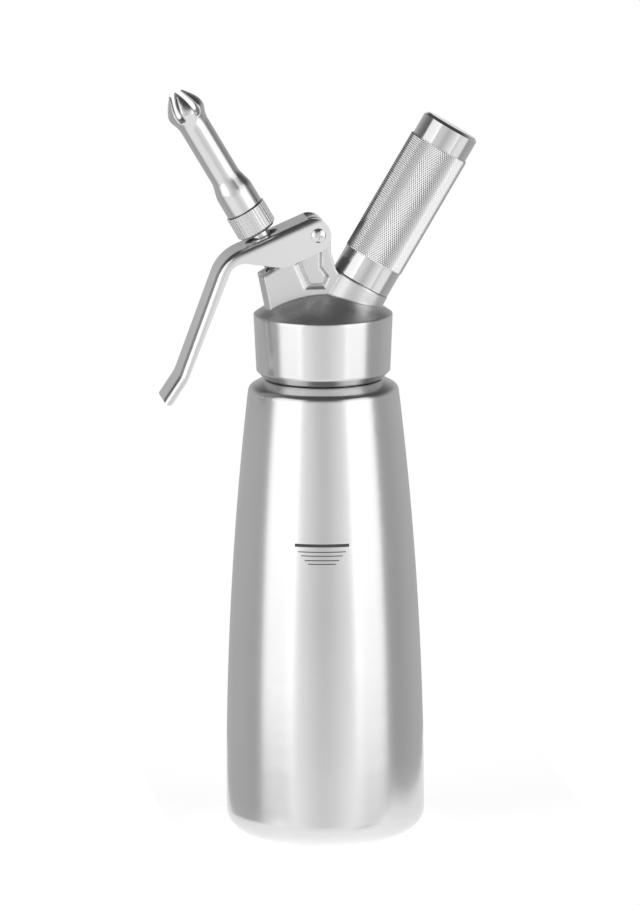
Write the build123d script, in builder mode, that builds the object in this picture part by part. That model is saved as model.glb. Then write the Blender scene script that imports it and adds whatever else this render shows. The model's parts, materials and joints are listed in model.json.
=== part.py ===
"""Whipped cream dispenser: a steel flask, a cast head with a squeeze lever and a valve,
a tulip nozzle and a screw-on charger holder.

Units are millimetres. +Z is up and the origin is the centre of the flask's flat base.
The nozzle and the lever reach towards -X and the charger holder towards +X.
"""
import os
from math import cos, hypot, radians, sin, sqrt, tan

from build123d import *

os.makedirs("parts", exist_ok=True)

# ---------------------------------------------------------------- flask
flask_radius = 40.0
flask_corner_radius = 10.3
flask_side_start = 16.0          # height at which the side begins to lean in
shoulder_radius = 30.1
shoulder_height = 183.2
shoulder_round = 3.6
shoulder_slope = 28.0            # degrees below level
flask_wall = 1.2
neck_radius = 22.6               # outside, at the root of the thread
neck_wall = 2.0
neck_height = 21.3               # from the shoulder to the mouth
neck_thread_depth = 0.9
neck_thread_pitch = 4.0
neck_thread_turns = 3
neck_thread_drop = 5.5           # from the mouth to the highest ridge

# ---------------------------------------------------------------- head casting
collar_radius_top = 27.9
collar_radius_bottom = 26.9
collar_chamfer_width = 2.8
collar_chamfer_height = 3.0
collar_skirt = 17.6              # the collar hangs this far below the flask's mouth
collar_rim_height = 5.6          # from the gasket to the collar's rim
collar_rim_round = 0.5
collar_thread_clearance = 0.3
gasket_thickness = 2.5
gasket_width = 5.0
gasket_clearance = 0.2
dome_rise = 9.3                  # from the collar's rim to the crown
dome_wall = 3.0
cavity_radius = 19.0

slab_half_width = 7.2            # the flat middle block that carries valve and pivot
slab_bulge = 1.5                 # how far its outer face swells in the middle
slab_lean = 11.4                 # degrees, outer face
slab_right_edge = 5.1            # from the pivot
slab_right_drop = 7.0            # from the pivot down to where the edge flares out
pocket_depth = 2.0
pad_recess = 0.3                 # the pad in the pocket lies this far under the face
pad_draft = 8.0                  # degrees
# the pad's corners, across and up from the pivot, and the pocket's slope beside each
pad_corners = [
    (-6.9, -10.4),
    (-2.9, -20.0),
    (1.7, -20.0),
    (3.1, -16.8),
    (0.7, -13.4),
    (0.7, -7.4),
    (-3.6, -7.4),
]
slope_widths = [3.3, 2.0, 2.0, 1.2, 1.0, 0.3, 0.6]

# ---------------------------------------------------------------- valve and nozzle
nozzle_tilt = 30.3               # degrees from vertical, towards -X
nozzle_root_drop = 10.44         # the axis starts this far under the collar's rim
boss_height = 35.8               # from the axis's start to the boss's top
boss_left = 7.7                  # from the axis to the boss's outer corner
valve_seat = 14.5                # from the axis's start to the valve seat
seat_boss_radius = 6.6
stem_radius = 4.0
stem_wall = 1.4
stem_clearance = 0.05
passage_gap = 0.6                # around the stem, between seat and seal ring
guide_bush_wall = 1.6
guide_bush_length = 4.0
spring_well_depth = 7.8
spring_well_step = 0.2           # the well is this much wider than the bush's bore
spring_wire = 1.0
spring_stem_gap = 0.35
spring_turns = 6
spring_end_gap = 0.1
flange_radius = 6.0
flange_thickness = 1.6
flange_chamfer = 0.5
flange_lever_gap = 0.2
port_radius = 1.3
port_height = 1.8                # above the valve seat
port_count = 4
seal_ring_section = 1.5
seal_ring_room = 0.3
plug_thickness = 3.4
plug_overlap = 1.2               # how far the seal laps over the seat
plug_spigot_length = 2.2
plug_seal_thickness = 1.4
seat_gap = 0.02

adapter_radius = 8.3
adapter_height = 10.35
adapter_gap = 1.35               # above the lever's web
adapter_chamfer = 1.3
adapter_thread_depth = 6.4
adapter_bore = 3.0
flute_count = 40
flute_radius = 0.35
spigot_radius = 5.45             # at the root of the thread
spigot_height = 7.2
spigot_thread_depth = 0.45
spigot_thread_pitch = 1.25
spigot_thread_turns = 4
nozzle_thread_clearance = 0.1

nozzle_gap = 0.3                 # between the adapter and the nozzle
nozzle_skirt_wall = 1.2
nozzle_skirt_height = 8.9
nozzle_flare_height = 5.8
nozzle_flare_round = 9.0
nozzle_tube_radius = 6.05
nozzle_wall = 0.95
nozzle_tube_length = 24.4
tulip_swell = 1.6
tulip_swell_height = 6.4
tulip_height = 15.1
tulip_mouth_radius = 3.3
tulip_slots = 6
tulip_slot_width = 2.7
tulip_slot_depth = 10.7
washer_thickness = 1.2
washer_width = 2.2
washer_gap = 0.1

# ---------------------------------------------------------------- lever
pivot_offset = 19.4              # from the nozzle's axis
pivot_height = 3.2               # above the boss's top
web_slope = 23.0                 # degrees, the web rises towards the pivot
web_height = 7.6                 # from the pivot to the top of the web
web_length = 38.68               # from the pivot to the bend
cheek_drop = 6.5                 # from the pivot to the straight lower edge
cheek_length = 17.6              # from the pivot to the end of that edge
lever_half_width = 9.0
lever_wall = 1.5
lever_end_reach = 5.1
lever_end_radius = 6.9
lever_bend = 46.4                # degrees, from the web to the handle
lever_bend_radius = 18.0
handle_length = 50.5
handle_depth_top = 5.04
handle_depth_bottom = 3.96
tip_bend = 13.6                  # degrees
tip_bend_radius = 14.0
tip_length = 12.1
tip_radius = 2.6
throat_radius = 6.5
lever_edge_round = 1.3
web_end = 1.0                    # the web stops this far short of the pivot
web_slot_length = 14.4
web_slot_width = 9.4
lug_radius = 5.1
pivot_radius = 2.0
pivot_clearance = 0.05
pivot_bush_wall = 0.95
pivot_bush_stand = 0.15          # the bush stands this far out of the block
pivot_head_radius = 2.9
pivot_head_height = 1.5
pivot_head_gap = 0.15
recess_length = 3.2
recess_width = 0.7
recess_depth = 0.9
nut_radius = 3.0
nut_height = 2.6
nut_wall = 0.8

# ---------------------------------------------------------------- charger side
charger_tilt = 30.8              # degrees from vertical, towards +X
charger_root_drop = 13.0
charger_boss_radius = 12.5
charger_boss_height = 29.5       # from the axis's start to the seam
inlet_boss_radius = 5.2
inlet_boss_depth = 16.5          # from the seam to the boss's inner end
stud_radius = 9.9                # at the root of the thread
stud_height = 9.5
stud_thread_depth = 0.6
stud_thread_pitch = 1.5
stud_thread_turns = 5
stud_thread_start = 1.7
charger_neck_radius = 4.9
charger_mouth_radius = 6.9
charger_mouth_height = 2.0
charger_radius = 9.3             # room for a standard charger's body
charger_length = 66.0
charger_seal_height = 1.5        # top of the seal above the seam
charger_seal_thickness = 3.0
charger_seal_bore = 1.6
inlet_fit_gap = 0.05
pin_flange_radius = 4.2
pin_flange_height = 2.3
pin_body_radius = 3.3
pin_body_length = 4.2
pin_radius = 1.1
pin_bore = 0.5
pin_reach = 2.6                  # above the seal
pin_point_height = 1.8
check_seat_radius = 1.5
check_ball_radius = 1.75
check_spring_wire = 0.35
check_spring_radius = 1.1
check_spring_turns = 4
check_nut_radius = 2.6
check_nut_length = 2.4
check_nut_bore = 0.8

holder_seam_gap = 0.2
holder_ring_radius = 12.25
holder_ring_height = 10.1
holder_step_gap = 0.2
sleeve_radius = 12.55
sleeve_gap = 0.1
holder_tube_wall = 1.75
cap_radius = 11.9
cap_height = 9.9
cap_wall = 1.25
cap_lap = 6.2                    # the cap hides this much of the tube's end
cap_chamfer = 1.2
charger_clearance = 0.15
charger_end_gap = 0.1
holder_thread_clearance = 0.3
pad_thickness = 1.5
pad_clearance = 0.25

# ---------------------------------------------------------------- heights that follow
neck_top = shoulder_height + neck_height
neck_bore = neck_radius - neck_wall
neck_crest = neck_radius + neck_thread_depth
neck_thread_start = (
    neck_top - neck_thread_drop - (neck_thread_turns - 1) * neck_thread_pitch
)
gasket_top = neck_top + gasket_thickness
collar_bottom = neck_top - collar_skirt
collar_top = gasket_top + collar_rim_height
collar_crest = neck_crest + collar_thread_clearance
collar_root = collar_crest + neck_thread_depth
dome_radius = (collar_radius_top**2 + dome_rise**2) / (2 * dome_rise)
dome_centre = collar_top + dome_rise - dome_radius
cavity_crown = dome_centre + dome_radius - dome_wall
cavity_shoulder = dome_centre + sqrt((dome_radius - dome_wall) ** 2 - cavity_radius**2)

nozzle_root = collar_top - nozzle_root_drop
charger_root = collar_top - charger_root_drop

# directions in the XZ plane
nozzle_dir = (-sin(radians(nozzle_tilt)), 0.0, cos(radians(nozzle_tilt)))
nozzle_side = (cos(radians(nozzle_tilt)), 0.0, sin(radians(nozzle_tilt)))
charger_dir = (sin(radians(charger_tilt)), 0.0, cos(radians(charger_tilt)))
charger_side = (cos(radians(charger_tilt)), 0.0, -sin(radians(charger_tilt)))

nozzle_section = Plane(origin=(0, 0, nozzle_root), x_dir=nozzle_side, z_dir=(0, -1, 0))
nozzle_axis = Axis((0, 0, nozzle_root), nozzle_dir)
nozzle_base = Plane(origin=(0, 0, nozzle_root), x_dir=nozzle_side, z_dir=nozzle_dir)
charger_section = Plane(
    origin=(0, 0, charger_root), x_dir=charger_side, z_dir=(0, -1, 0)
)
charger_axis = Axis((0, 0, charger_root), charger_dir)
charger_base = Plane(origin=(0, 0, charger_root), x_dir=charger_side, z_dir=charger_dir)


def nozzle_point(side, station):
    """A point of the XZ plane given beside and along the nozzle's axis."""
    return (
        side * nozzle_side[0] + station * nozzle_dir[0],
        nozzle_root + side * nozzle_side[2] + station * nozzle_dir[2],
    )


def charger_point(side, station):
    """A point of the XZ plane given beside and along the charger's axis."""
    return (
        side * charger_side[0] + station * charger_dir[0],
        charger_root + side * charger_side[2] + station * charger_dir[2],
    )


pivot_x, pivot_z = nozzle_point(pivot_offset, boss_height + pivot_height)
handle_slope = web_slope + lever_bend
tip_slope = handle_slope - tip_bend


def lever_point(along, above):
    """A point of the XZ plane, measured from the pivot along the web and above it."""
    return (
        pivot_x - along * cos(radians(web_slope)) - above * sin(radians(web_slope)),
        pivot_z - along * sin(radians(web_slope)) + above * cos(radians(web_slope)),
    )


bend_corner = lever_point(web_length, web_height)


def handle_point(along, depth):
    """A point measured from the lever's bend down the handle and in from its back."""
    return (
        bend_corner[0] - along * cos(radians(handle_slope)) + depth * sin(radians(handle_slope)),
        bend_corner[1] - along * sin(radians(handle_slope)) - depth * cos(radians(handle_slope)),
    )


tip_corner = handle_point(handle_length, 0)


def tip_point(along, depth):
    """A point measured from the handle's lower bend along its tip and in from its back."""
    return (
        tip_corner[0] - along * cos(radians(tip_slope)) + depth * sin(radians(tip_slope)),
        tip_corner[1] - along * sin(radians(tip_slope)) - depth * cos(radians(tip_slope)),
    )


def web_station(side, above):
    """Station along the nozzle's axis of a web surface, beside the axis."""
    skew = radians(nozzle_tilt - web_slope)
    return boss_height + pivot_height + (above + (pivot_offset - side) * sin(skew)) / cos(skew)


def turn(section, axis, outline, mode=Mode.ADD):
    """Revolve a closed outline of (radius, station) points about its axis."""
    with BuildSketch(section) as profile:
        with BuildLine():
            Polyline(*outline, close=True)
        make_face()
    revolve(profile.sketch, axis=axis, mode=mode)


def grown(outline, widths):
    """Corners of an outline, given anticlockwise, moved out by a width at each side."""
    sides = []
    for start, end, width in zip(outline, outline[1:] + outline[:1], widths):
        run, rise = end[0] - start[0], end[1] - start[1]
        length = hypot(run, rise)
        sides.append(
            (start[0] + width * rise / length, start[1] - width * run / length, run, rise)
        )
    corners = []
    for before, after in zip(sides[-1:] + sides[:-1], sides):
        turn_size = before[2] * after[3] - before[3] * after[2]
        along = (
            (after[0] - before[0]) * after[3] - (after[1] - before[1]) * after[2]
        ) / turn_size
        corners.append((before[0] + along * before[2], before[1] + along * before[3]))
    return corners


def ring(section, axis, inner, outer, low, high, mode=Mode.ADD):
    """Revolve a plain ring, or a disc where the inner radius is zero."""
    turn(section, axis, [(inner, low), (outer, low), (outer, high), (inner, high)], mode)


def ridges(root, crest, first, pitch, count):
    """Points of a row of thread ridges, from the lowest to the highest."""
    land = pitch / 8
    flank = pitch / 4
    points = []
    for index in range(count):
        centre = first + index * pitch
        points += [(root, centre - land - flank), (crest, centre - land)]
        points += [(crest, centre + land), (root, centre + land + flank)]
    return points


def flask_outline(inset, neck, thread, mode):
    """Revolve the flask's outline, moved in by the inset, with its neck on top."""
    radius = flask_radius - inset
    shoulder = shoulder_radius - inset
    slope = radians(shoulder_slope)
    corner_height = shoulder_height - inset * (1 - sin(slope)) / cos(slope)
    neck_foot = corner_height + (shoulder - neck) * tan(slope)
    with BuildSketch(Plane.XZ) as profile:
        with BuildLine():
            Polyline((0, inset), (radius, inset), (radius, flask_side_start))
            TangentArc(
                (radius, flask_side_start), (shoulder, corner_height), tangent=(0, 1)
            )
            Polyline(
                (shoulder, corner_height),
                (neck, neck_foot),
                *thread,
                (neck, neck_top),
                (0, neck_top),
                (0, inset),
            )
        make_face()
        fillet(
            vertices().sort_by_distance((radius, inset))[0], flask_corner_radius - inset
        )
        fillet(
            vertices().sort_by_distance((shoulder, corner_height))[0],
            shoulder_round - inset,
        )
    revolve(profile.sketch, axis=Axis.Z, mode=mode)


# ================================================================ flask
with BuildPart() as bottle:
    flask_outline(
        0,
        neck_radius,
        ridges(
            neck_radius, neck_crest, neck_thread_start, neck_thread_pitch, neck_thread_turns
        ),
        Mode.ADD,
    )
    flask_outline(flask_wall, neck_bore, [], Mode.SUBTRACT)
bottle.part.label = "bottle"
export_step(bottle.part, "parts/bottle.step")

with BuildPart() as head_gasket:
    ring(
        Plane.XZ,
        Axis.Z,
        collar_root - gasket_clearance - gasket_width,
        collar_root - gasket_clearance,
        neck_top,
        gasket_top,
    )
head_gasket.part.label = "head_gasket"
export_step(head_gasket.part, "parts/head_gasket.step")

# ================================================================ head casting
# stations along the nozzle's axis
bush_top = boss_height - spring_well_depth
bush_base = bush_top - guide_bush_length
ring_seat = bush_base - seal_ring_section - seal_ring_room
stem_passage = stem_radius + passage_gap
bush_radius = stem_radius + guide_bush_wall
well_radius = bush_radius + spring_well_step
# stations along the charger's axis
seam = charger_boss_height
stud_top = seam + stud_height
stud_crest = stud_radius + stud_thread_depth
seal_top = seam + charger_seal_height
seal_base = seal_top - charger_seal_thickness
pin_flange_base = seal_base - pin_flange_height
pin_base = pin_flange_base - pin_body_length
inlet_base = seam - inlet_boss_depth
check_nut_top = inlet_base + check_nut_length
seal_radius = charger_neck_radius - inlet_fit_gap

bulge_radius = (slab_bulge**2 + slab_half_width**2) / (2 * slab_bulge)
boss_corner = nozzle_point(-boss_left, boss_height)
lean_dir = (-sin(radians(slab_lean)), 0.0, cos(radians(slab_lean)))
lean_side = (cos(radians(slab_lean)), 0.0, sin(radians(slab_lean)))
slab_foot = collar_top - dome_wall
foot_shift = (boss_corner[1] - slab_foot) * tan(radians(slab_lean))

with BuildPart() as head:
    # flat middle block: valve boss on the left, lug on the right
    with BuildSketch(Plane.XZ):
        with BuildLine():
            Polyline(
                (boss_corner[0] + foot_shift - slab_bulge, slab_foot),
                (boss_corner[0] - slab_bulge, boss_corner[1]),
                boss_corner,
                nozzle_point(pivot_offset - lug_radius, boss_height),
                (pivot_x, pivot_z),
                (pivot_x + slab_right_edge, pivot_z),
                (pivot_x + slab_right_edge, pivot_z - slab_right_drop),
                charger_point(-charger_boss_radius, seam),
                charger_point(-charger_boss_radius / 2, seam - charger_seal_thickness),
                charger_point(-charger_boss_radius / 2, inlet_base),
                close=True,
            )
        make_face()
        with Locations((pivot_x, pivot_z)):
            Circle(lug_radius)
    extrude(amount=slab_half_width, both=True)
    with BuildSketch(
        Plane(
            origin=(
                boss_corner[0] + (bulge_radius - slab_bulge) * lean_side[0],
                0,
                boss_corner[1] + (bulge_radius - slab_bulge) * lean_side[2],
            ),
            x_dir=lean_side,
            z_dir=lean_dir,
        )
    ):
        Circle(bulge_radius)
    extrude(amount=boss_height + collar_radius_top, both=True, mode=Mode.INTERSECT)
    # charger boss and its threaded stud
    with BuildSketch(charger_base.offset(inlet_base)):
        Circle(charger_boss_radius)
    extrude(amount=seam - inlet_base)
    turn(
        charger_section,
        charger_axis,
        [
            (0, seam - charger_seal_thickness),
            (stud_radius, seam - charger_seal_thickness),
            *ridges(
                stud_radius,
                stud_crest,
                seam + stud_thread_start,
                stud_thread_pitch,
                stud_thread_turns,
            ),
            (stud_radius, stud_top),
            (0, stud_top),
        ],
    )
    # collar and dome
    with BuildSketch(Plane.YZ):
        with BuildLine():
            Polyline(
                (0, collar_bottom),
                (collar_radius_bottom - collar_chamfer_width, collar_bottom),
                (collar_radius_bottom, collar_bottom + collar_chamfer_height),
                (collar_radius_top, collar_top),
            )
            TangentArc(
                (0, collar_top + dome_rise), (collar_radius_top, collar_top), tangent=(1, 0)
            )
            Line((0, collar_top + dome_rise), (0, collar_bottom))
        make_face()
        fillet(
            vertices().sort_by_distance((collar_radius_top, collar_top))[0],
            collar_rim_round,
        )
    revolve(axis=Axis.Z)
    # pockets on both faces: sloping walls around a raised pad
    pad_outline = [(pivot_x + x, pivot_z + z) for x, z in pad_corners]
    pocket_outline = grown(pad_outline, slope_widths)
    for side in (1, -1):
        with BuildSketch(Plane.XZ.offset(side * slab_half_width)):
            with BuildLine():
                Polyline(*pocket_outline, close=True)
            make_face()
        with BuildSketch(Plane.XZ.offset(side * (slab_half_width - pocket_depth))):
            with BuildLine():
                Polyline(*pad_outline, close=True)
            make_face()
        slopes = loft(ruled=True, mode=Mode.PRIVATE)
        with BuildSketch(Plane.XZ.offset(side * (slab_half_width - pad_recess))):
            with BuildLine():
                Polyline(*pad_outline, close=True)
            make_face()
        pad = extrude(amount=-side * pocket_depth, taper=-pad_draft, mode=Mode.PRIVATE)
        add(slopes - pad, mode=Mode.SUBTRACT)
    # hollow: threaded skirt, gasket seat and the room under the dome
    with BuildSketch(Plane.XZ):
        with BuildLine():
            Polyline(
                (0, collar_bottom),
                (collar_crest, collar_bottom),
                *ridges(
                    collar_root,
                    collar_crest,
                    neck_thread_start - neck_thread_pitch / 2,
                    neck_thread_pitch,
                    neck_thread_turns + 1,
                )[2:],
                (collar_root, gasket_top),
                (cavity_radius, gasket_top),
                (cavity_radius, cavity_shoulder),
            )
            TangentArc((0, cavity_crown), (cavity_radius, cavity_shoulder), tangent=(1, 0))
            Line((0, cavity_crown), (0, collar_bottom))
        make_face()
    revolve(axis=Axis.Z, mode=Mode.SUBTRACT)
    # bosses inside the room for the valve seat and the gas inlet
    with BuildSketch(nozzle_base.offset(valve_seat)):
        Circle(seat_boss_radius)
    extrude(amount=ring_seat - valve_seat)
    with BuildSketch(charger_base.offset(inlet_base)):
        Circle(inlet_boss_radius)
    extrude(amount=pin_base - inlet_base)
    # valve bore, stepped for the seal ring, the guide bush and the spring
    turn(
        nozzle_section,
        nozzle_axis,
        [
            (0, valve_seat - plug_thickness),
            (stem_passage, valve_seat - plug_thickness),
            (stem_passage, ring_seat),
            (bush_radius, ring_seat),
            (bush_radius, bush_top),
            (well_radius, bush_top),
            (well_radius, boss_height + pivot_height),
            (0, boss_height + pivot_height),
        ],
        Mode.SUBTRACT,
    )
    # gas inlet bore, stepped for the retaining nut, ball, piercing pin and seal
    turn(
        charger_section,
        charger_axis,
        [
            (0, inlet_base - check_nut_length),
            (check_nut_radius, inlet_base - check_nut_length),
            (check_nut_radius, check_nut_top),
            (check_ball_radius + inlet_fit_gap, check_nut_top),
            (check_ball_radius + inlet_fit_gap, pin_base),
            (pin_body_radius + inlet_fit_gap, pin_base),
            (pin_body_radius + inlet_fit_gap, pin_flange_base),
            (pin_flange_radius + inlet_fit_gap, pin_flange_base),
            (pin_flange_radius + inlet_fit_gap, seal_base),
            (charger_neck_radius, seal_base),
            (charger_neck_radius, stud_top - charger_mouth_height),
            (charger_mouth_radius, stud_top),
            (0, stud_top),
        ],
        Mode.SUBTRACT,
    )
    # hole for the pivot bush
    with BuildSketch(Plane.XZ):
        with Locations((pivot_x, pivot_z)):
            Circle(pivot_radius + pivot_clearance + pivot_bush_wall)
    extrude(amount=slab_half_width, both=True, mode=Mode.SUBTRACT)
head.part.label = "head"
export_step(head.part, "parts/head.step")

# ================================================================ valve
web_under = web_station(flange_radius, web_height - lever_wall)
flange_top = web_under - flange_lever_gap
flange_base = flange_top - flange_thickness
adapter_base = web_station(-adapter_radius, web_height) + adapter_gap
adapter_top = adapter_base + adapter_height
stem_top = adapter_base + adapter_thread_depth
stem_bore = stem_radius - stem_wall
plug_radius = stem_passage + plug_overlap
seal_face = valve_seat - seat_gap
plug_top = seal_face - plug_seal_thickness

with BuildPart() as valve_stem:
    turn(
        nozzle_section,
        nozzle_axis,
        [
            (stem_bore, seal_face),
            (stem_radius, seal_face),
            (stem_radius, flange_base),
            (flange_radius, flange_base),
            (flange_radius, flange_top - flange_chamfer),
            (flange_radius - flange_chamfer, flange_top),
            (stem_radius, flange_top),
            (stem_radius, stem_top),
            (stem_bore, stem_top),
        ],
    )
    with Locations(nozzle_base.offset(valve_seat + port_height)):
        with PolarLocations(0, port_count):
            Cylinder(
                port_radius,
                stem_radius + passage_gap,
                rotation=(0, 90, 0),
                align=(Align.CENTER, Align.CENTER, Align.MIN),
                mode=Mode.SUBTRACT,
            )
valve_stem.part.label = "valve_stem"
export_step(valve_stem.part, "parts/valve_stem.step")

with BuildPart() as valve_plug:
    ring(nozzle_section, nozzle_axis, 0, plug_radius, plug_top - plug_thickness, plug_top)
    ring(
        nozzle_section,
        nozzle_axis,
        0,
        stem_bore - stem_clearance,
        plug_top - plug_thickness,
        plug_top + plug_spigot_length,
    )
    # slot for a screwdriver
    with BuildSketch(nozzle_base.offset(plug_top - plug_thickness)):
        Rectangle(2 * plug_radius, stem_wall)
    extrude(amount=stem_wall, mode=Mode.SUBTRACT)
valve_plug.part.label = "valve_plug"
export_step(valve_plug.part, "parts/valve_plug.step")

with BuildPart() as plug_seal:
    ring(nozzle_section, nozzle_axis, stem_bore, plug_radius, plug_top, seal_face)
plug_seal.part.label = "plug_seal"
export_step(plug_seal.part, "parts/plug_seal.step")

with BuildPart() as guide_bush:
    ring(
        nozzle_section,
        nozzle_axis,
        stem_radius + stem_clearance,
        bush_radius,
        bush_base,
        bush_top,
    )
guide_bush.part.label = "guide_bush"
export_step(guide_bush.part, "parts/guide_bush.step")

with BuildPart() as stem_seal_ring:
    with BuildSketch(nozzle_section):
        with Locations(
            (
                stem_radius + stem_clearance + seal_ring_section / 2,
                bush_base - seal_ring_section / 2,
            )
        ):
            Circle(seal_ring_section / 2)
    revolve(axis=nozzle_axis)
stem_seal_ring.part.label = "stem_seal_ring"
export_step(stem_seal_ring.part, "parts/stem_seal_ring.step")

spring_mean = stem_radius + spring_stem_gap + spring_wire / 2
spring_low = bush_top + spring_wire / 2
spring_length = flange_base - spring_end_gap - spring_wire / 2 - spring_low
with BuildPart() as valve_spring:
    with BuildLine():
        coil = Helix(
            pitch=spring_length / spring_turns,
            height=spring_length,
            radius=spring_mean,
            center=(
                spring_low * nozzle_dir[0],
                0,
                nozzle_root + spring_low * nozzle_dir[2],
            ),
            direction=nozzle_dir,
        )
    with BuildSketch(Plane(origin=coil @ 0, z_dir=coil % 0)):
        Circle(spring_wire / 2)
    sweep(is_frenet=True)
valve_spring.part.label = "valve_spring"
export_step(valve_spring.part, "parts/valve_spring.step")

# ================================================================ adapter and nozzle
spigot_top = adapter_top + spigot_height
spigot_crest = spigot_radius + spigot_thread_depth
spigot_thread_start = adapter_top + spigot_thread_pitch + nozzle_gap
with BuildPart() as nozzle_adapter:
    turn(
        nozzle_section,
        nozzle_axis,
        [
            (0, adapter_base),
            (adapter_radius - adapter_chamfer, adapter_base),
            (adapter_radius, adapter_base + adapter_chamfer),
            (adapter_radius, adapter_top),
            (spigot_radius, adapter_top),
            *ridges(
                spigot_radius,
                spigot_crest,
                spigot_thread_start,
                spigot_thread_pitch,
                spigot_thread_turns,
            ),
            (spigot_radius, spigot_top),
            (0, spigot_top),
        ],
    )
    # flutes for the fingers
    with BuildSketch(nozzle_base.offset(adapter_base)):
        with PolarLocations(adapter_radius, flute_count):
            Circle(flute_radius)
    extrude(amount=adapter_height, mode=Mode.SUBTRACT)
    turn(
        nozzle_section,
        nozzle_axis,
        [
            (0, adapter_base),
            (stem_radius + stem_clearance, adapter_base),
            (stem_radius + stem_clearance, stem_top),
            (adapter_bore, stem_top),
            (adapter_bore, spigot_top),
            (0, spigot_top),
        ],
        Mode.SUBTRACT,
    )
nozzle_adapter.part.label = "nozzle_adapter"
export_step(nozzle_adapter.part, "parts/nozzle_adapter.step")

washer_base = spigot_top
washer_top = washer_base + washer_thickness
skirt_crest = spigot_crest + nozzle_thread_clearance
skirt_root = skirt_crest + spigot_thread_depth
with BuildPart() as nozzle_gasket:
    ring(
        nozzle_section,
        nozzle_axis,
        skirt_crest - washer_gap - washer_width,
        skirt_crest - washer_gap,
        washer_base,
        washer_top,
    )
nozzle_gasket.part.label = "nozzle_gasket"
export_step(nozzle_gasket.part, "parts/nozzle_gasket.step")

nozzle_base_station = adapter_top + nozzle_gap
skirt_top = nozzle_base_station + nozzle_skirt_height
flare_top = skirt_top + nozzle_flare_height
tulip_base = flare_top + nozzle_tube_length
tulip_top = tulip_base + tulip_height
nozzle_bore = nozzle_tube_radius - nozzle_wall


def tulip(inset, foot, mode, rounded=()):
    """Revolve the nozzle's outline above its foot, moved in by the inset."""
    tube = nozzle_tube_radius - inset
    with BuildSketch(nozzle_section) as profile:
        with BuildLine():
            Polyline((0, tulip_top), (0, foot[0][1]), *foot, (tube, tulip_base))
            Spline(
                (tube, tulip_base),
                (tube + tulip_swell, tulip_base + tulip_swell_height),
                (tulip_mouth_radius - inset, tulip_top),
                tangents=[(0, 1), (-1, 1.3)],
            )
            Line((tulip_mouth_radius - inset, tulip_top), (0, tulip_top))
        make_face()
        for corner in rounded:
            fillet(vertices().sort_by_distance(corner)[0], nozzle_flare_round)
    revolve(profile.sketch, axis=nozzle_axis, mode=mode)


with BuildPart() as nozzle:
    tulip(
        0,
        [
            (skirt_root + nozzle_skirt_wall, nozzle_base_station),
            (skirt_root + nozzle_skirt_wall, skirt_top),
            (nozzle_tube_radius, flare_top),
        ],
        Mode.ADD,
        [(skirt_root + nozzle_skirt_wall, skirt_top), (nozzle_tube_radius, flare_top)],
    )
    tulip(
        nozzle_wall,
        [
            (skirt_root, nozzle_base_station),
            *ridges(
                skirt_root,
                skirt_crest,
                spigot_thread_start + spigot_thread_pitch / 2,
                spigot_thread_pitch,
                spigot_thread_turns - 1,
            ),
            (skirt_root, washer_base),
            (skirt_crest, washer_base),
            (skirt_crest, washer_top),
            (nozzle_bore, washer_top),
        ],
        Mode.SUBTRACT,
    )
    with Locations(nozzle_base.offset(tulip_top - tulip_slot_depth + tulip_slot_width / 2)):
        with PolarLocations(0, tulip_slots):
            Box(
                nozzle_tube_radius + 2 * tulip_swell,
                tulip_slot_width,
                tulip_slot_depth,
                align=(Align.MIN, Align.CENTER, Align.MIN),
                mode=Mode.SUBTRACT,
            )
            Cylinder(
                tulip_slot_width / 2,
                nozzle_tube_radius + 2 * tulip_swell,
                rotation=(0, 90, 0),
                align=(Align.CENTER, Align.CENTER, Align.MIN),
                mode=Mode.SUBTRACT,
            )
nozzle.part.label = "nozzle"
export_step(nozzle.part, "parts/nozzle.step")

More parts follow.
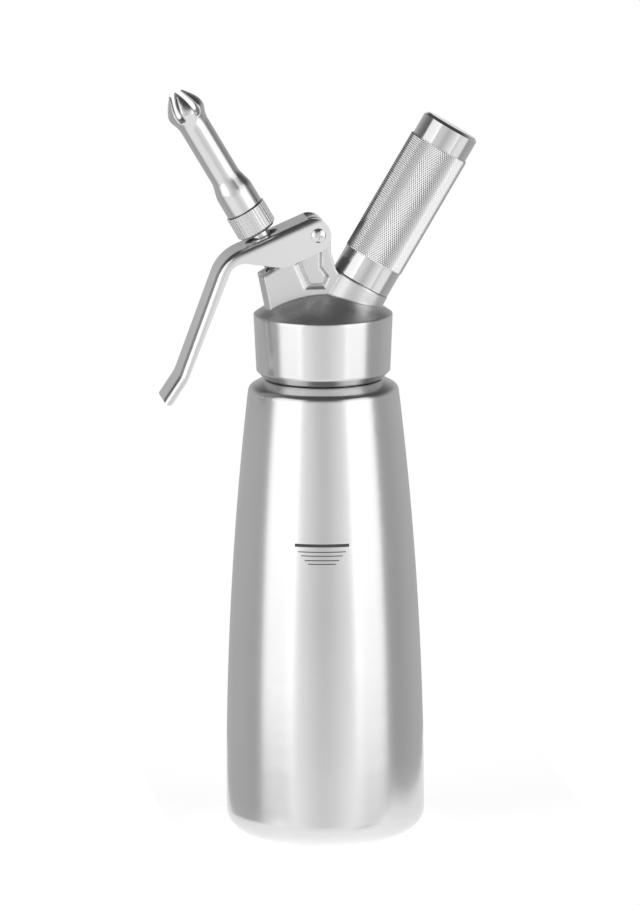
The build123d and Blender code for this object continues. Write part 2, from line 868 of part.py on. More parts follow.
# ================================================================ lever and pivot
channel_half_width = lever_half_width - lever_wall
bush_outer = pivot_radius + pivot_clearance + pivot_bush_wall
with BuildPart() as lever:
    # rounded back of the channel
    with BuildSketch(Plane.XZ):
        with BuildLine():
            FilletPolyline(
                lever_point(-2 * lever_end_reach, web_height),
                bend_corner,
                tip_corner,
                tip_point(2 * tip_length, 0),
                tip_point(2 * tip_length, web_length),
                lever_point(-2 * lever_end_reach, -web_length),
                radius=[0, lever_bend_radius, tip_bend_radius, 0, 0, 0],
                close=True,
            )
        make_face()
    extrude(amount=lever_half_width, both=True)
    fillet(
        edges().group_by(Axis.Y)[0] + edges().group_by(Axis.Y)[-1], lever_edge_round
    )
    # side view of cheeks, throat, handle and tip
    with BuildSketch(Plane.XZ):
        with BuildLine():
            FilletPolyline(
                lever_point(-lever_end_reach, web_height),
                lever_point(-lever_end_reach, -cheek_drop),
                lever_point(cheek_length, -cheek_drop),
                handle_point(0, handle_depth_top),
                tip_point(0, handle_depth_bottom),
                tip_point(tip_length, handle_depth_bottom),
                tip_point(tip_length, 0),
                tip_corner,
                bend_corner,
                radius=[
                    lever_end_radius,
                    lever_end_radius,
                    throat_radius,
                    throat_radius,
                    tip_bend_radius,
                    tip_radius * 0.6,
                    tip_radius * 0.6,
                    tip_bend_radius,
                    lever_bend_radius,
                ],
                close=True,
            )
        make_face()
    extrude(amount=lever_half_width, both=True, mode=Mode.INTERSECT)
    # hollow of the channel, open below and between the cheeks at the pivot
    with BuildSketch(Plane.XZ):
        with BuildLine():
            FilletPolyline(
                lever_point(web_end, 2 * web_height),
                lever_point(web_end, web_height - lever_wall),
                lever_point(
                    web_length - lever_wall * tan(radians(lever_bend / 2)),
                    web_height - lever_wall,
                ),
                handle_point(handle_length, lever_wall),
                tip_point(tip_length - lever_wall, lever_wall),
                tip_point(tip_length - lever_wall, web_length),
                lever_point(-2 * lever_end_reach, -web_length),
                lever_point(-2 * lever_end_reach, 2 * web_height),
                radius=[
                    0,
                    0,
                    lever_bend_radius - lever_wall,
                    tip_bend_radius - lever_wall,
                    0,
                    0,
                    0,
                    0,
                ],
                close=True,
            )
        make_face()
    extrude(amount=channel_half_width, both=True, mode=Mode.SUBTRACT)
    # slot in the web for the valve stem
    web_plane = Plane(
        origin=(
            lever_point(0, web_height - lever_wall)[0],
            0,
            lever_point(0, web_height - lever_wall)[1],
        ),
        x_dir=(-cos(radians(web_slope)), 0, -sin(radians(web_slope))),
        z_dir=(-sin(radians(web_slope)), 0, cos(radians(web_slope))),
    )
    skew = radians(nozzle_tilt - web_slope)
    slot_centre = pivot_offset * cos(skew) + (
        web_station(0, web_height) - boss_height - pivot_height
    ) * sin(skew)
    with BuildSketch(web_plane):
        with Locations((slot_centre, 0)):
            SlotOverall(web_slot_length, web_slot_width)
    extrude(amount=2 * lever_wall, mode=Mode.SUBTRACT)
    # holes for the pivot screw
    with BuildSketch(Plane.XZ):
        with Locations((pivot_x, pivot_z)):
            Circle(pivot_radius + pivot_clearance)
    extrude(amount=lever_half_width, both=True, mode=Mode.SUBTRACT)
lever.part.label = "lever"
export_step(lever.part, "parts/lever.step")

pivot_plane = Plane(origin=(pivot_x, 0, pivot_z), x_dir=(1, 0, 0), z_dir=(0, -1, 0))
pivot_section = Plane(origin=(pivot_x, 0, pivot_z), x_dir=(1, 0, 0), z_dir=(0, 0, 1))
pivot_axis = Axis((pivot_x, 0, pivot_z), (0, 1, 0))
screw_seat = lever_half_width + pivot_head_gap
thread_end = screw_seat + nut_height - nut_wall - pivot_clearance

with BuildPart() as pivot_bush:
    with BuildSketch(pivot_plane):
        Circle(bush_outer)
        Circle(pivot_radius + pivot_clearance, mode=Mode.SUBTRACT)
    extrude(amount=slab_half_width + pivot_bush_stand, both=True)
pivot_bush.part.label = "pivot_bush"
export_step(pivot_bush.part, "parts/pivot_bush.step")

with BuildPart() as pivot_screw:
    with BuildSketch(pivot_section):
        with BuildLine():
            Polyline(
                (0, -screw_seat - pivot_head_height),
                (0, thread_end),
                (pivot_radius, thread_end),
                (pivot_radius, -screw_seat),
                (pivot_head_radius, -screw_seat),
                (pivot_head_radius, -screw_seat - pivot_head_height / 3),
            )
            TangentArc(
                (0, -screw_seat - pivot_head_height),
                (pivot_head_radius, -screw_seat - pivot_head_height / 3),
                tangent=(1, 0),
            )
        make_face()
    revolve(axis=pivot_axis)
    with BuildSketch(pivot_plane.offset(screw_seat + pivot_head_height)):
        Rectangle(recess_length, recess_width)
        Rectangle(recess_width, recess_length)
    extrude(amount=-recess_depth, mode=Mode.SUBTRACT)
pivot_screw.part.label = "pivot_screw"
export_step(pivot_screw.part, "parts/pivot_screw.step")

with BuildPart() as pivot_nut:
    with BuildSketch(pivot_section):
        with BuildLine():
            Polyline(
                (0, screw_seat + nut_height),
                (0, thread_end),
                (pivot_radius, thread_end),
                (pivot_radius, screw_seat),
                (nut_radius, screw_seat),
                (nut_radius, screw_seat + nut_height / 2),
            )
            TangentArc(
                (0, screw_seat + nut_height), (nut_radius, screw_seat + nut_height / 2),
                tangent=(1, 0),
            )
        make_face()
    revolve(axis=pivot_axis)
pivot_nut.part.label = "pivot_nut"
export_step(pivot_nut.part, "parts/pivot_nut.step")

# ================================================================ gas inlet
pin_tip = seal_top + pin_reach
with BuildPart() as piercing_pin:
    turn(
        charger_section,
        charger_axis,
        [
            (check_seat_radius, pin_base),
            (pin_body_radius, pin_base),
            (pin_body_radius, pin_flange_base),
            (pin_flange_radius, pin_flange_base),
            (pin_flange_radius, seal_base),
            (pin_radius, seal_base),
            (pin_radius, pin_tip - pin_point_height),
            (pin_bore, pin_tip),
            (pin_bore, pin_base + check_seat_radius - pin_bore),
        ],
    )
piercing_pin.part.label = "piercing_pin"
export_step(piercing_pin.part, "parts/piercing_pin.step")

with BuildPart() as charger_seal:
    ring(
        charger_section,
        charger_axis,
        charger_seal_bore,
        seal_radius,
        seal_base,
        seal_top,
    )
charger_seal.part.label = "charger_seal"
export_step(charger_seal.part, "parts/charger_seal.step")

# the ball rests in a 45 degree seat in the pin's lower end
ball_station = (
    pin_base + check_seat_radius - check_ball_radius * sqrt(2) - seat_gap
)
with BuildPart() as check_ball:
    with BuildSketch(charger_section):
        with Locations((0, ball_station)):
            Circle(check_ball_radius)
            Rectangle(
                2 * check_ball_radius,
                2 * check_ball_radius,
                align=(Align.MAX, Align.CENTER),
                mode=Mode.SUBTRACT,
            )
    revolve(axis=charger_axis)
check_ball.part.label = "check_ball"
export_step(check_ball.part, "parts/check_ball.step")

check_spring_low = check_nut_top + check_spring_wire / 2
check_spring_high = (
    ball_station
    - sqrt((check_ball_radius + check_spring_wire / 2 + seat_gap) ** 2 - check_spring_radius**2)
)
with BuildPart() as check_spring:
    with BuildLine():
        small_coil = Helix(
            pitch=(check_spring_high - check_spring_low) / check_spring_turns,
            height=check_spring_high - check_spring_low,
            radius=check_spring_radius,
            center=(
                check_spring_low * charger_dir[0],
                0,
                charger_root + check_spring_low * charger_dir[2],
            ),
            direction=charger_dir,
        )
    with BuildSketch(Plane(origin=small_coil @ 0, z_dir=small_coil % 0)):
        Circle(check_spring_wire / 2)
    sweep(is_frenet=True)
check_spring.part.label = "check_spring"
export_step(check_spring.part, "parts/check_spring.step")

with BuildPart() as check_nut:
    ring(
        charger_section,
        charger_axis,
        check_nut_bore,
        check_nut_radius,
        inlet_base,
        check_nut_top,
    )
    with BuildSketch(charger_base.offset(inlet_base)):
        Rectangle(2 * check_nut_radius, check_nut_bore)
    extrude(amount=check_nut_bore, mode=Mode.SUBTRACT)
check_nut.part.label = "check_nut"
export_step(check_nut.part, "parts/check_nut.step")

# ================================================================ charger holder
ring_base = seam + holder_seam_gap
ring_top = ring_base + holder_ring_height
holder_crest = stud_crest + holder_thread_clearance
holder_root = holder_crest + stud_thread_depth
holder_bore = charger_radius + charger_clearance
holder_tube_radius = holder_bore + holder_tube_wall
pad_base = seal_top + charger_length + charger_end_gap
tube_top = pad_base + pad_thickness
cap_base = tube_top - cap_lap
cap_top = cap_base + cap_height
cap_bore = cap_radius - cap_wall

with BuildPart() as holder_tube:
    turn(
        charger_section,
        charger_axis,
        [
            (0, ring_base),
            (holder_ring_radius, ring_base),
            (holder_ring_radius, ring_top),
            (holder_tube_radius, ring_top),
            (holder_tube_radius, cap_base),
            (cap_bore, cap_base),
            (cap_bore, tube_top),
            (0, tube_top),
        ],
    )
    turn(
        charger_section,
        charger_axis,
        [
            (0, ring_base),
            (holder_crest, ring_base),
            *ridges(
                holder_root,
                holder_crest,
                seam + stud_thread_start + stud_thread_pitch / 2,
                stud_thread_pitch,
                stud_thread_turns - 1,
            )[2:],
            (holder_root, stud_top + holder_step_gap),
            (holder_bore, stud_top + holder_step_gap),
            (holder_bore, tube_top),
            (0, tube_top),
        ],
        Mode.SUBTRACT,
    )
holder_tube.part.label = "holder_tube"
export_step(holder_tube.part, "parts/holder_tube.step")

with BuildPart() as knurled_sleeve:
    ring(
        charger_section,
        charger_axis,
        holder_tube_radius,
        sleeve_radius,
        ring_top + sleeve_gap,
        cap_base - sleeve_gap,
    )
knurled_sleeve.part.label = "knurled_sleeve"
export_step(knurled_sleeve.part, "parts/knurled_sleeve.step")

with BuildPart() as holder_cap:
    turn(
        charger_section,
        charger_axis,
        [
            (0, tube_top),
            (cap_bore, tube_top),
            (cap_bore, cap_base),
            (cap_radius, cap_base),
            (cap_radius, cap_top - cap_chamfer),
            (cap_radius - cap_chamfer, cap_top),
            (0, cap_top),
        ],
    )
holder_cap.part.label = "holder_cap"
export_step(holder_cap.part, "parts/holder_cap.step")

with BuildPart() as charger_pad:
    ring(
        charger_section,
        charger_axis,
        0,
        holder_bore - pad_clearance,
        pad_base,
        tube_top,
    )
charger_pad.part.label = "charger_pad"
export_step(charger_pad.part, "parts/charger_pad.step")
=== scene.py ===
"""Looks of the whipped cream dispenser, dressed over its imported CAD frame."""
import json
import math

import bpy
from mathutils import Matrix, Vector
from mathutils.bvhtree import BVHTree


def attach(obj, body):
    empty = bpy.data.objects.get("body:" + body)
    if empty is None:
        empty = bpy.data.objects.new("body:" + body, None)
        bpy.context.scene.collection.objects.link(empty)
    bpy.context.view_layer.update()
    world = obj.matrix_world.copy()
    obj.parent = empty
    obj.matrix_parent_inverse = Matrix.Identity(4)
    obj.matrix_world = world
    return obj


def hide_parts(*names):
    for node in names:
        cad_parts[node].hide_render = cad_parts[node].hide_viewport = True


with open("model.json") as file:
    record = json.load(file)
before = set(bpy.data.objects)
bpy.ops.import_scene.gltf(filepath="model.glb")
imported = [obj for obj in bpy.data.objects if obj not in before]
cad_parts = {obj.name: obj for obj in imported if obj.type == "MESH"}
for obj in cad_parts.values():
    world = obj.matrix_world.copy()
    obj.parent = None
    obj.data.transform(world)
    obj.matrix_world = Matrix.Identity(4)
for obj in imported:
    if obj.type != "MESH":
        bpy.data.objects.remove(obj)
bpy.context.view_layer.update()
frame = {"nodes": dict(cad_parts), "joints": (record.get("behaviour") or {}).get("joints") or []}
nodes = frame["nodes"]
scene = bpy.context.scene

# ---------------------------------------------------------------- node helpers


def wire(tree, value, socket):
    """Link an output to a socket, or set the socket to a plain value."""
    if isinstance(value, bpy.types.NodeSocket):
        tree.links.new(value, socket)
    else:
        socket.default_value = value


def math_node(tree, operation, *values, clamp=False):
    """The result of a math node."""
    node = tree.nodes.new("ShaderNodeMath")
    node.operation = operation
    node.use_clamp = clamp
    for value, socket in zip(values, node.inputs):
        wire(tree, value, socket)
    return node.outputs[0]


def vector_node(tree, operation, *values, output="Vector"):
    """The result of a vector math node."""
    node = tree.nodes.new("ShaderNodeVectorMath")
    node.operation = operation
    for value, socket in zip(values, node.inputs):
        wire(tree, value, socket)
    return node.outputs[output]


def scaled(tree, vector, factor):
    """A vector times a factor."""
    node = tree.nodes.new("ShaderNodeVectorMath")
    node.operation = "SCALE"
    wire(tree, vector, node.inputs[0])
    wire(tree, factor, node.inputs["Scale"])
    return node.outputs["Vector"]


def ranged(tree, value, low, high, start, end, step="LINEAR"):
    """A value mapped from one range to another, and held past its ends."""
    node = tree.nodes.new("ShaderNodeMapRange")
    node.interpolation_type = step
    node.inputs["From Min"].default_value = low
    node.inputs["From Max"].default_value = high
    node.inputs["To Min"].default_value = start
    node.inputs["To Max"].default_value = end
    tree.links.new(value, node.inputs["Value"])
    return node.outputs[0]


def coordinates(tree, kind):
    """Texture coordinates of one kind."""
    return tree.nodes.new("ShaderNodeTexCoord").outputs[kind]


def split(tree, vector):
    """The X, Y and Z of a vector."""
    node = tree.nodes.new("ShaderNodeSeparateXYZ")
    tree.links.new(vector, node.inputs[0])
    return node.outputs


# ------------------------------------------------------------------ materials

noise_low, noise_high = 0.3, 0.7        # where most of the noise's values lie
tone_spread = 0.04                      # share by which a metal's tone varies
gloss_spread = 0.05                     # share by which its roughness varies
tone_scale = (14, 14, 14)
zone_blend = 0.0002                     # half the height over which roughness steps


def new_material(name):
    """An empty node material with an output and a principled shader."""
    mat = bpy.data.materials.new(name)
    mat.use_nodes = True
    tree = mat.node_tree
    tree.nodes.clear()
    out = tree.nodes.new("ShaderNodeOutputMaterial")
    shader = tree.nodes.new("ShaderNodeBsdfPrincipled")
    tree.links.new(shader.outputs[0], out.inputs[0])
    return mat, tree, shader


def stretched_noise(tree, scale, detail):
    """Noise stretched differently along the row's axes."""
    mapping = tree.nodes.new("ShaderNodeMapping")
    mapping.inputs["Scale"].default_value = scale
    noise = tree.nodes.new("ShaderNodeTexNoise")
    noise.inputs["Scale"].default_value = 1.0
    noise.inputs["Detail"].default_value = detail
    tree.links.new(coordinates(tree, "Object"), mapping.inputs[0])
    tree.links.new(mapping.outputs[0], noise.inputs["Vector"])
    return noise.outputs[0]


def tint(tree, noise, dark, light):
    """A colour between two, chosen by the noise."""
    ramp = tree.nodes.new("ShaderNodeValToRGB")
    first, last = ramp.color_ramp.elements
    first.position, first.color = noise_low, (*dark, 1)
    last.position, last.color = noise_high, (*light, 1)
    tree.links.new(noise, ramp.inputs[0])
    return ramp.outputs[0]


def metal(name, colour, roughness, grain, grain_depth, edge=0.0, above=None):
    """Bare metal: fine grain in the normal, and small changes in tone and gloss.

    edge is the radius to which sharp edges look rounded, and above is a height
    with the share by which the surface is rougher over it.
    """
    mat, tree, shader = new_material(name)
    shader.inputs["Metallic"].default_value = 1.0
    fine = stretched_noise(tree, grain, 3.0)
    slow = stretched_noise(tree, tone_scale, 2.0)
    dark = tuple(c * (1 - tone_spread) for c in colour)
    light = tuple(min(1.0, c * (1 + tone_spread)) for c in colour)
    tree.links.new(tint(tree, slow, dark, light), shader.inputs["Base Color"])
    smoothest, roughest = roughness * (1 - gloss_spread), roughness * (1 + gloss_spread)
    gloss = ranged(tree, fine, noise_low, noise_high, smoothest, roughest)
    if above:
        height, share = above
        level = split(tree, coordinates(tree, "Object"))["Z"]
        factor = ranged(tree, level, height - zone_blend, height + zone_blend, 1.0, share)
        gloss = math_node(tree, "MULTIPLY", gloss, factor)
    tree.links.new(gloss, shader.inputs["Roughness"])
    bump = tree.nodes.new("ShaderNodeBump")
    bump.inputs["Strength"].default_value = 1.0
    bump.inputs["Distance"].default_value = grain_depth
    tree.links.new(fine, bump.inputs["Height"])
    tree.links.new(bump.outputs[0], shader.inputs["Normal"])
    if edge:
        bevel = tree.nodes.new("ShaderNodeBevel")
        bevel.samples = 8
        bevel.inputs["Radius"].default_value = edge
        tree.links.new(bevel.outputs[0], bump.inputs["Normal"])
    return mat


def softened_back(mat, centre, reach, directions, depths, tip, tip_reach, tip_direction):
    """Shade the lever's cheeks as rolled over towards its back.

    The back is an arc of the given reach about the centre, with a straight run at
    each end. The directions face out of the runs, and depths say how far down the
    cheek the roll goes at each. The first run bends at the tip's corner, and the
    tip's own run counts up to tip_reach from that corner towards the arc.
    """
    tree = mat.node_tree
    first, second = directions
    side = (second - first).normalized()
    half = reach * side.dot(second)
    place = coordinates(tree, "Object")

    # way out of the back and distance under it, for the arc and its two runs
    arm = vector_node(tree, "SUBTRACT", place, centre)
    run = vector_node(tree, "DOT_PRODUCT", arm, side, output="Value")
    share = ranged(tree, run, -half, half, 0.0, 1.0)
    rest = math_node(tree, "SUBTRACT", 1.0, share)
    mixed = vector_node(tree, "ADD", scaled(tree, first, rest), scaled(tree, second, share))
    outward = vector_node(tree, "NORMALIZE", mixed)
    height = vector_node(tree, "DOT_PRODUCT", arm, outward, output="Value")
    inside = math_node(tree, "SUBTRACT", reach, height)

    # the same for the tip's run, where it lies deeper
    tip_arm = vector_node(tree, "SUBTRACT", tip, place)
    tip_inside = vector_node(tree, "DOT_PRODUCT", tip_arm, tip_direction, output="Value")
    near = math_node(tree, "LESS_THAN", run, side.dot(tip - centre) + tip_reach)
    tip_inside = math_node(tree, "MULTIPLY", tip_inside, near)
    beyond = math_node(tree, "GREATER_THAN", tip_inside, inside)
    beyond = math_node(tree, "MULTIPLY", beyond, near)
    turned = vector_node(tree, "ADD", outward, scaled(tree, tip_direction - first, beyond))
    outward = vector_node(tree, "NORMALIZE", turned)
    inside = math_node(tree, "MAXIMUM", inside, tip_inside)

    # the normal leans outward as on a quarter circle
    depth = ranged(tree, run, -half, half, *depths)
    ratio = math_node(tree, "DIVIDE", inside, depth)
    lean = math_node(tree, "SUBTRACT", 1.0, ratio, clamp=True)
    squared = math_node(tree, "MULTIPLY", lean, lean)
    upright = math_node(tree, "SQRT", math_node(tree, "SUBTRACT", 1.0, squared))
    to_world = tree.nodes.new("ShaderNodeVectorTransform")
    to_world.vector_type = "NORMAL"
    to_world.convert_from, to_world.convert_to = "OBJECT", "WORLD"
    tree.links.new(outward, to_world.inputs[0])
    flat = tree.nodes.new("ShaderNodeNewGeometry").outputs["Normal"]
    leaning = scaled(tree, to_world.outputs[0], lean)
    total = vector_node(tree, "ADD", leaning, scaled(tree, flat, upright))
    bump = next(n for n in tree.nodes if n.type == "BUMP")
    tree.links.new(vector_node(tree, "NORMALIZE", total), bump.inputs["Normal"])


def soft(name, colour, roughness):
    """Rubber or plastic with a faint mottle."""
    mat, tree, shader = new_material(name)
    slow = stretched_noise(tree, (900, 900, 900), 2.0)
    dark = tuple(c * 0.85 for c in colour)
    tree.links.new(tint(tree, slow, dark, colour), shader.inputs["Base Color"])
    gloss = ranged(tree, slow, noise_low, noise_high, roughness * 0.9, roughness)
    tree.links.new(gloss, shader.inputs["Roughness"])
    return mat


bare = (0.70, 0.70, 0.705)
even_grain, fine_grain = (500, 500, 500), (900, 900, 900)
turned_grain, brushed_grain = (60, 60, 2600), (8, 8, 5200)
collar_rim = 0.2126                     # height of the collar's upper edge

steel = metal("brushed_flask_steel", bare, 0.24, brushed_grain, 0.000010)
cast = metal(
    "satin_cast_metal", bare, 0.22, even_grain, 0.000003, edge=0.0014, above=(collar_rim, 1.6)
)
# painted light: the lever is the head's same cast metal, with its tone set brighter (0.80
# against 0.70) so it looks more lit
lever_cast_lit = metal("lever_metal_painted_light", (0.80, 0.80, 0.805), 0.26, even_grain, 0.0000003)
softened_back(
    lever_cast_lit,
    centre=Vector((-0.027365, 0, 0.223948)),
    reach=0.018,
    directions=[Vector((-0.9361, 0, 0.3518)), Vector((-0.3907, 0, 0.9205))],
    depths=[0.0035, 0.0034],
    tip=Vector((-0.059266, 0, 0.190230)),
    tip_reach=0.006,
    tip_direction=Vector((-0.8271, 0, 0.5621)),
)
polished = metal("polished_metal", bare, 0.15, turned_grain, 0.000003)
nozzle_steel = metal("nozzle_steel", bare, 0.22, turned_grain, 0.000003, edge=0.0012)
fluted = metal("fluted_metal", bare, 0.32, fine_grain, 0.000003)
knurled = metal("knurled_metal", bare, 0.20, fine_grain, 0.000003)
turned = metal("turned_inner_steel", (0.50, 0.50, 0.51), 0.28, turned_grain, 0.000006)
rubber = soft("dark_rubber", (0.05, 0.05, 0.052), 0.7)
plastic = soft("pale_plastic", (0.62, 0.62, 0.60), 0.45)
ink = soft("dark_print", (0.055, 0.055, 0.058), 0.55)

dressing = {
    steel: ["bottle"],
    cast: ["head"],
    lever_cast_lit: ["lever"],
    nozzle_steel: ["nozzle"],
    fluted: ["nozzle_adapter"],
    polished: [
        "valve_stem",
        "holder_tube",
        "holder_cap",
        "pivot_screw",
        "pivot_nut",
    ],
    turned: [
        "valve_plug",
        "valve_spring",
        "piercing_pin",
        "check_ball",
        "check_spring",
        "check_nut",
    ],
    rubber: [
        "head_gasket",
        "stem_seal_ring",
        "plug_seal",
        "nozzle_gasket",
        "charger_seal",
        "charger_pad",
    ],
    plastic: ["guide_bush", "pivot_bush"],
}
for material, names in dressing.items():
    for name in names:
        data = nodes[name].data
        data.materials.clear()
        data.materials.append(material)

# ----------------------------------------------------------------- new pieces


def new_piece(name, points, faces, material, body):
    """A mesh piece that rides on a body and takes its finish from a material slot."""
    mesh = bpy.data.meshes.new(name)
    mesh.from_pydata(points, [], faces)
    mesh.validate()
    mesh.materials.append(material)
    piece = bpy.data.objects.new(name, mesh)
    scene.collection.objects.link(piece)
    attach(piece, body)
    return piece


def knurled_tube(name, node, joint_name, divisions, rows, depth):
    """A tube about a joint's axis whose outside is covered in small pyramids."""
    joint = next(j for j in frame["joints"] if j["name"] == joint_name)
    origin, axis = Vector(joint["pos_m"]), Vector(joint["axis"]).normalized()
    u = Vector((0, 1, 0)).cross(axis).normalized()
    v = axis.cross(u)
    stations, radii = [], []
    for vertex in nodes[node].data.vertices:
        offset = vertex.co - origin
        station = offset.dot(axis)
        stations.append(station)
        radii.append((offset - axis * station).length)
    start, end, inner, outer = min(stations), max(stations), min(radii), max(radii)

    # each ring is a station with a function that gives a point's radius
    rings = [(start, lambda j: inner), (start, lambda j: outer - depth)]
    for i in range(1, rows):
        rings.append(
            (
                start + (end - start) * i / rows,
                lambda j, i=i: outer if (i + j) % 2 == 0 else outer - depth,
            )
        )
    rings += [(end, lambda j: outer - depth), (end, lambda j: inner)]
    points, faces = [], []
    for station, radius in rings:
        for j in range(divisions):
            angle = 2 * math.pi * j / divisions
            arm = u * math.cos(angle) + v * math.sin(angle)
            points.append(origin + axis * station + arm * radius(j))
    count = len(rings)
    for i in range(count):
        below, above = i * divisions, (i + 1) % count * divisions
        for j in range(divisions):
            k = (j + 1) % divisions
            a, b, c, d = below + j, below + k, above + k, above + j
            if i in (0, count - 2, count - 1):
                faces.append((a, b, c, d))
            elif (i - 1 + j) % 2 == 0:
                faces += [(a, b, d), (b, c, d)]
            else:
                faces += [(a, b, c), (a, c, d)]
    return new_piece(name, points, faces, knurled, "holder")


sleeve = knurled_tube(
    "knurled_sleeve_skin", "knurled_sleeve", "holder_turn", divisions=168, rows=64, depth=0.00025
)
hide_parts("knurled_sleeve")

# fill mark: bars printed round the flask, which get shorter downwards
flask_mesh = nodes["bottle"].data
flask_skin = BVHTree.FromPolygons(
    [v.co for v in flask_mesh.vertices], [p.vertices[:] for p in flask_mesh.polygons]
)
ray_start = 0.06                        # outside the flask at every height
mark_azimuth = math.radians(-9.47)
line_height, line_turn, line_thickness = 0.12485, 17.6, 0.00125
bars = [(0.12229, 15.3), (0.12073, 13.2), (0.11892, 10.9), (0.11748, 8.8)]
bar_thickness = 0.00038
print_rise = 0.00003                    # over the steel, and as far into it


def printed_bar(name, height, half_turn, thickness, steps=24):
    """A thin bar that follows the flask's side, half_turn degrees each way."""
    points, faces = [], []
    for i in range(steps + 1):
        for level in (-1, 1):
            z = height + level * thickness / 2
            turn = mark_azimuth + (2 * i / steps - 1) * math.radians(half_turn)
            out = Vector((math.sin(turn), -math.cos(turn), 0))
            hit = flask_skin.ray_cast(Vector((0, 0, z)) + out * ray_start, -out)[0]
            points += [hit - out * print_rise, hit + out * print_rise]
    for i in range(steps):
        a, b = 4 * i, 4 * (i + 1)
        faces += [
            (a + 1, b + 1, b + 3, a + 3),
            (a, a + 2, b + 2, b),
            (a, b, b + 1, a + 1),
            (a + 2, a + 3, b + 3, b + 2),
        ]
    last = 4 * steps
    faces += [(0, 1, 3, 2), (last, last + 2, last + 3, last + 1)]
    return new_piece(name, points, faces, ink, "flask")


printed_bar("fill_mark_line", line_height, line_turn, line_thickness)
for number, (height, half_turn) in enumerate(bars, 1):
    printed_bar(f"fill_mark_bar_{number}", height, half_turn, bar_thickness)

# ---------------------------------------------------------------------- stage

# a small floor: a wide one would wash out the flask's grey bands
floor_left, floor_right, floor_front, floor_back = -0.062, 0.11, -0.055, 0.16
floor_level = -0.00005                  # clear of the flask's base
floor_colour = 0.88
floor_glow = 0.75


def seen_directly(tree):
    """1 on camera, glossy and transmission rays, and 0 on the rest."""
    path = tree.nodes.new("ShaderNodeLightPath")
    total = path.outputs["Is Camera Ray"]
    for name in ("Is Glossy Ray", "Is Transmission Ray"):
        total = math_node(tree, "MAXIMUM", total, path.outputs[name])
    return total


floor_mat, floor_tree, floor_shader = new_material("floor_white")
floor_shader.inputs["Base Color"].default_value = (floor_colour, floor_colour, floor_colour, 1)
floor_shader.inputs["Roughness"].default_value = 0.9
floor_shader.inputs["Specular IOR Level"].default_value = 0.0
floor_shader.inputs["Emission Color"].default_value = (1, 1, 1, 1)
glow = math_node(floor_tree, "MULTIPLY", seen_directly(floor_tree), floor_glow)
floor_tree.links.new(glow, floor_shader.inputs["Emission Strength"])
floor_mesh = bpy.data.meshes.new("floor")
floor_mesh.from_pydata(
    [
        (floor_left, floor_front, floor_level),
        (floor_right, floor_front, floor_level),
        (floor_right, floor_back, floor_level),
        (floor_left, floor_back, floor_level),
    ],
    [],
    [(0, 1, 2, 3)],
)
floor_mesh.materials.append(floor_mat)
floor = bpy.data.objects.new("floor", floor_mesh)
scene.collection.objects.link(floor)

softbox_target = Vector((0, 0, 0.16))


def softbox(name, azimuth, width, elevation=14, distance=1.6, height=1.9, radiance=1.10):
    """An area lamp aimed at the part's middle, with a given brightness per area."""
    a, e = math.radians(azimuth), math.radians(elevation)
    back = Vector((math.sin(a) * math.cos(e), -math.cos(a) * math.cos(e), math.sin(e)))
    lamp = bpy.data.lights.new(name, "AREA")
    lamp.shape = "RECTANGLE"
    lamp.size, lamp.size_y = width, height
    lamp.energy = radiance * math.pi * width * height
    ob = bpy.data.objects.new(name, lamp)
    ob.location = softbox_target + back * distance
    ob.rotation_mode = "QUATERNION"
    ob.rotation_quaternion = back.to_track_quat("Z", "Y")
    ob.visible_camera = False
    scene.collection.objects.link(ob)


# the softboxes shine in the flask's two bright bands
softbox("softbox_left", azimuth=-65.5, width=1.36)
softbox("softbox_right", azimuth=49, width=1.26)

# the world is a studio whose brightness depends on the direction alone
front_azimuth = math.radians(-8.0)      # the side that the photograph was taken from
panel_middle, panel_edge, surround, rear = 0.62, 1.10, 0.42, 0.52
below_glow = 1.05
ceiling_share = 0.18                    # of the brightness, left overhead

world = bpy.data.worlds.new("studio")
scene.world = world
world.use_nodes = True
studio = world.node_tree
studio.nodes.clear()
world_out = studio.nodes.new("ShaderNodeOutputWorld")
background = studio.nodes.new("ShaderNodeBackground")
studio.links.new(background.outputs[0], world_out.inputs[0])
direction = coordinates(studio, "Generated")
heading = split(studio, direction)
front = Vector((math.sin(front_azimuth), -math.cos(front_azimuth), 0))
across = Vector((math.cos(front_azimuth), math.sin(front_azimuth), 0))


def eased(value, low, high, start, end):
    """A value mapped smoothly from one range to another in the studio's world."""
    return ranged(studio, value, low, high, start, end, "SMOOTHSTEP")


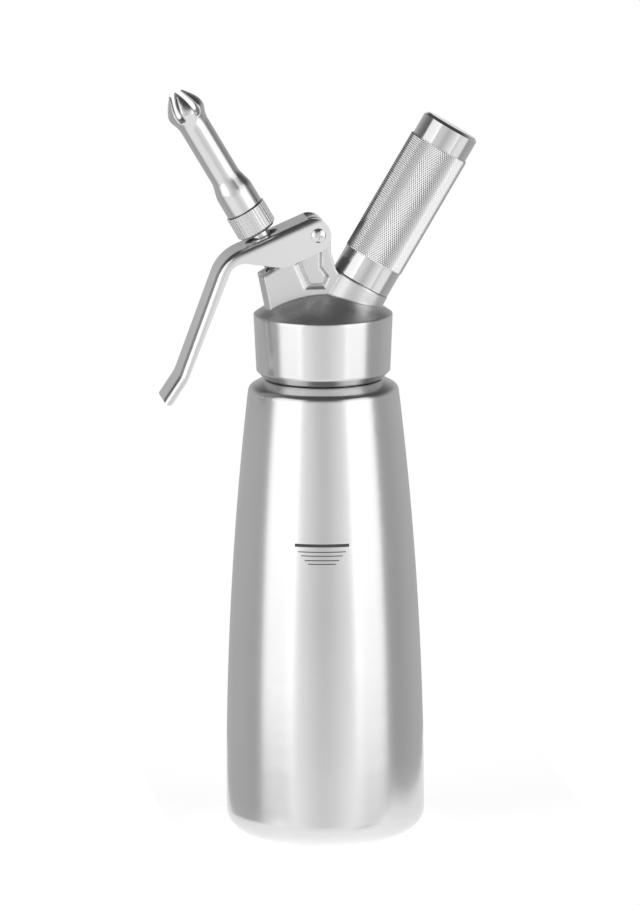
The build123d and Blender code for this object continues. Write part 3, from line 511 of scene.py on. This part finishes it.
# a panel in front that brightens towards the softboxes
facing = vector_node(studio, "DOT_PRODUCT", direction, front, output="Value")
angle = math_node(studio, "ARCCOSINE", facing)
panel = math_node(
    studio,
    "MINIMUM",
    ranged(studio, angle, 0.04, 0.62, panel_middle, panel_edge),
    eased(angle, 0.62, 0.85, panel_edge, surround),
)
sides = eased(heading["Y"], -0.1, 0.6, surround, rear)
# a white backdrop behind the part
aside = vector_node(studio, "DOT_PRODUCT", direction, across, output="Value")
backdrop = math_node(
    studio,
    "MULTIPLY",
    eased(math_node(studio, "ABSOLUTE", aside), 0.06, 0.14, 1.0, 0.0),
    eased(heading["Y"], 0.80, 0.93, 0.0, 1.0),
)
# light from low in front, which lights the faces that look down
below = math_node(
    studio,
    "MULTIPLY",
    eased(heading["Z"], -0.28, -0.45, 0.0, below_glow),
    eased(heading["Y"], 0.0, -0.25, 0.0, 1.0),
)
around = panel
for part in (sides, backdrop, below):
    around = math_node(studio, "MAXIMUM", around, part)
ceiling = eased(heading["Z"], 0.12, 0.60, 1.0, ceiling_share)
studio.links.new(math_node(studio, "MULTIPLY", around, ceiling), background.inputs["Color"])
background.inputs["Strength"].default_value = 1.0

# --------------------------------------------------------------------- camera
camera_reach, camera_rise = 2.8, 0.705
camera_target = Vector((-0.001511, 0, 0.155805))
camera_roll = math.radians(-0.2712)

cam_data = bpy.data.cameras.new("camera")
cam_data.sensor_width = 36
cam_data.sensor_fit = "AUTO"
cam_data.lens = 282.25
cam_data.clip_start, cam_data.clip_end = 0.05, 30
cam = bpy.data.objects.new("camera", cam_data)
scene.collection.objects.link(cam)
scene.camera = cam
eye = front * camera_reach + Vector((0, 0, camera_rise))
ahead = (camera_target - eye).normalized()
level_right = ahead.cross(Vector((0, 0, 1))).normalized()
level_up = level_right.cross(ahead)
right = level_right * math.cos(camera_roll) + level_up * math.sin(camera_roll)
up = level_up * math.cos(camera_roll) - level_right * math.sin(camera_roll)
cam.matrix_world = Matrix(
    (
        (right.x, up.x, -ahead.x, eye.x),
        (right.y, up.y, -ahead.y, eye.y),
        (right.z, up.z, -ahead.z, eye.z),
        (0, 0, 0, 1),
    )
)

scene.view_settings.view_transform = "Standard"
